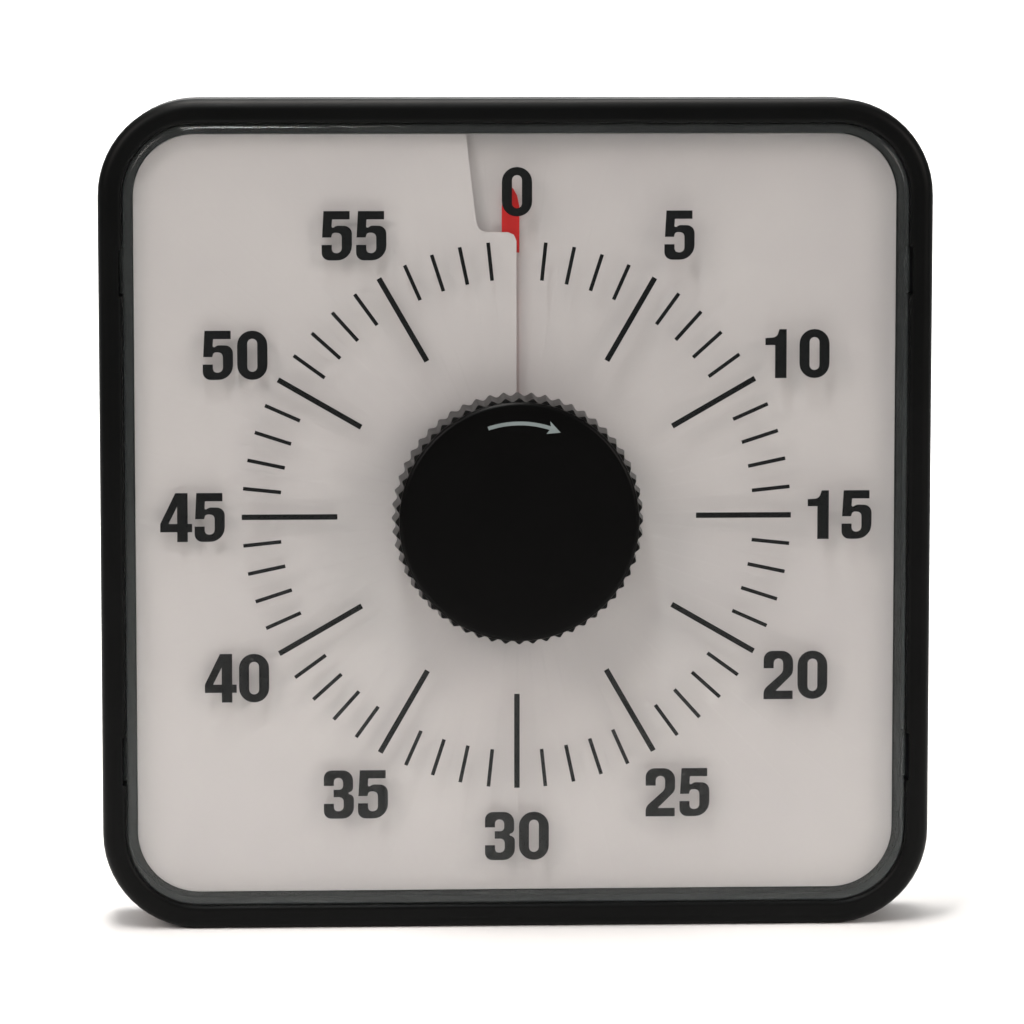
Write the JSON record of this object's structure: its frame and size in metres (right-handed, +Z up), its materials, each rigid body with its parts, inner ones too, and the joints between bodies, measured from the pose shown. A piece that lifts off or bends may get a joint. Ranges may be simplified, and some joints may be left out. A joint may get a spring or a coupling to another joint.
{
  "type": "visual countdown timer",
  "caption": "Square wind-up visual timer: black case, clear cover with a minute scale, white slit dial, red disc, fluted knob, fold-out stand and bell movement.",
  "frame": {"origin": "under the middle of the case, on the surface that it stands on", "axes": "+Z up, the dial faces -Y, +X to the right seen from the front"},
  "size_m": [0.19, 0.042, 0.19],
  "materials": {
    "case_plastic": "satin moulded ABS, black",
    "clear_plastic": "clear moulded polystyrene, glossy",
    "white_plastic": "moulded ABS, white",
    "white_film": "PVC sheet, satin white",
    "red_film": "PVC sheet, bright red",
    "knob_plastic": "moulded ABS, semi-gloss black",
    "brass": "stamped brass",
    "steel": "turned steel",
    "spring_steel": "blued spring steel",
    "nickel_plate": "nickel-plated steel, bright",
    "magnet_nickel": "nickel-plated magnet",
    "zinc_steel": "zinc-plated steel"
  },
  "bodies": {
    "case": {"front_frame": "case_plastic", "rear_cover": "case_plastic", "clear_cover": "clear_plastic", "dial_plate": "white_plastic", "dial_sheet": "white_film", "movement_front_plate": "brass", "movement_rear_plate": "brass", "plate_pillars": "steel", "pillar_screws": "zinc_steel", "movement_screws": "zinc_steel", "mainspring": "spring_steel", "pallet_staff": "steel", "hammer_pin": "steel", "bell": "nickel_plate", "bell_post": "steel", "bell_screw": "zinc_steel", "case_screws": "zinc_steel", "magnets": "magnet_nickel", "stand_hinge_pin": "steel"},
    "knob": {"knob_body": "knob_plastic", "knob_cap": "knob_plastic", "knob_screw": "zinc_steel", "spindle": "steel", "great_wheel": "brass", "ratchet_wheel": "steel", "click": "steel", "strike_cam": "brass"},
    "disc": {"red_disc": "red_film", "disc_hub": "white_plastic"},
    "second_arbor": {"second_wheel": "brass", "second_pinion": "steel"},
    "third_arbor": {"third_wheel": "brass", "third_pinion": "steel"},
    "escape_arbor": {"escape_wheel": "brass", "escape_pinion": "steel"},
    "pallet": {"pallet_lever": "steel"},
    "balance": {"balance_wheel": "brass", "balance_staff": "steel"},
    "hammer": {"hammer": "steel"},
    "stand": {"kickstand": "case_plastic"}
  },
  "joints": [
    {"name": "knob_turn", "type": "hinge", "parent": "case", "child": "knob", "pos_m": [0, 0, 0.095], "axis": [0, 1, 0], "range_deg": [0, 360]},
    {"name": "disc_climb", "type": "slide", "parent": "knob", "child": "disc", "axis": [0, -1, 0], "range_m": [0, 0.0024]},
    {"name": "second_spin", "type": "hinge", "parent": "case", "child": "second_arbor", "pos_m": [-0.00875, 0, 0.07984], "axis": [0, 1, 0], "range_deg": [-2160, 0]},
    {"name": "third_spin", "type": "hinge", "parent": "case", "child": "third_arbor", "pos_m": [-0.02285, 0, 0.07471], "axis": [0, 1, 0], "range_deg": [0, 10800]},
    {"name": "escape_spin", "type": "hinge", "parent": "case", "child": "escape_arbor", "pos_m": [-0.02493, 0, 0.08653], "axis": [0, 1, 0], "range_deg": [-54000, 0]},
    {"name": "balance_swing", "type": "hinge", "parent": "case", "child": "balance", "pos_m": [-0.02493, 0, 0.10343], "axis": [0, 1, 0], "range_deg": [-20, 20]},
    {"name": "pallet_rock", "type": "hinge", "parent": "case", "child": "pallet", "pos_m": [-0.02493, 0, 0.09393], "axis": [0, 1, 0], "range_deg": [-3.75, 3.75]},
    {"name": "hammer_lift", "type": "hinge", "parent": "case", "child": "hammer", "pos_m": [0.02, 0, 0.103], "axis": [0, 1, 0], "range_deg": [0, 10], "stiffness_Nm_per_rad": 0.002, "springref_deg": -8.59},
    {"name": "stand_swing", "type": "hinge", "parent": "case", "child": "stand", "pos_m": [0, 0.0187, 0.054], "axis": [1, 0, 0], "range_deg": [0, 40]}
  ],
  "couplings": [
    {"joint": "disc_climb", "follows": "knob_turn", "m_per_rad": 0.00038197},
    {"joint": "second_spin", "follows": "knob_turn", "ratio": -6},
    {"joint": "third_spin", "follows": "knob_turn", "ratio": 30},
    {"joint": "escape_spin", "follows": "knob_turn", "ratio": -150},
    {"joint": "pallet_rock", "follows": "balance_swing", "ratio": -0.1875}
  ]
}
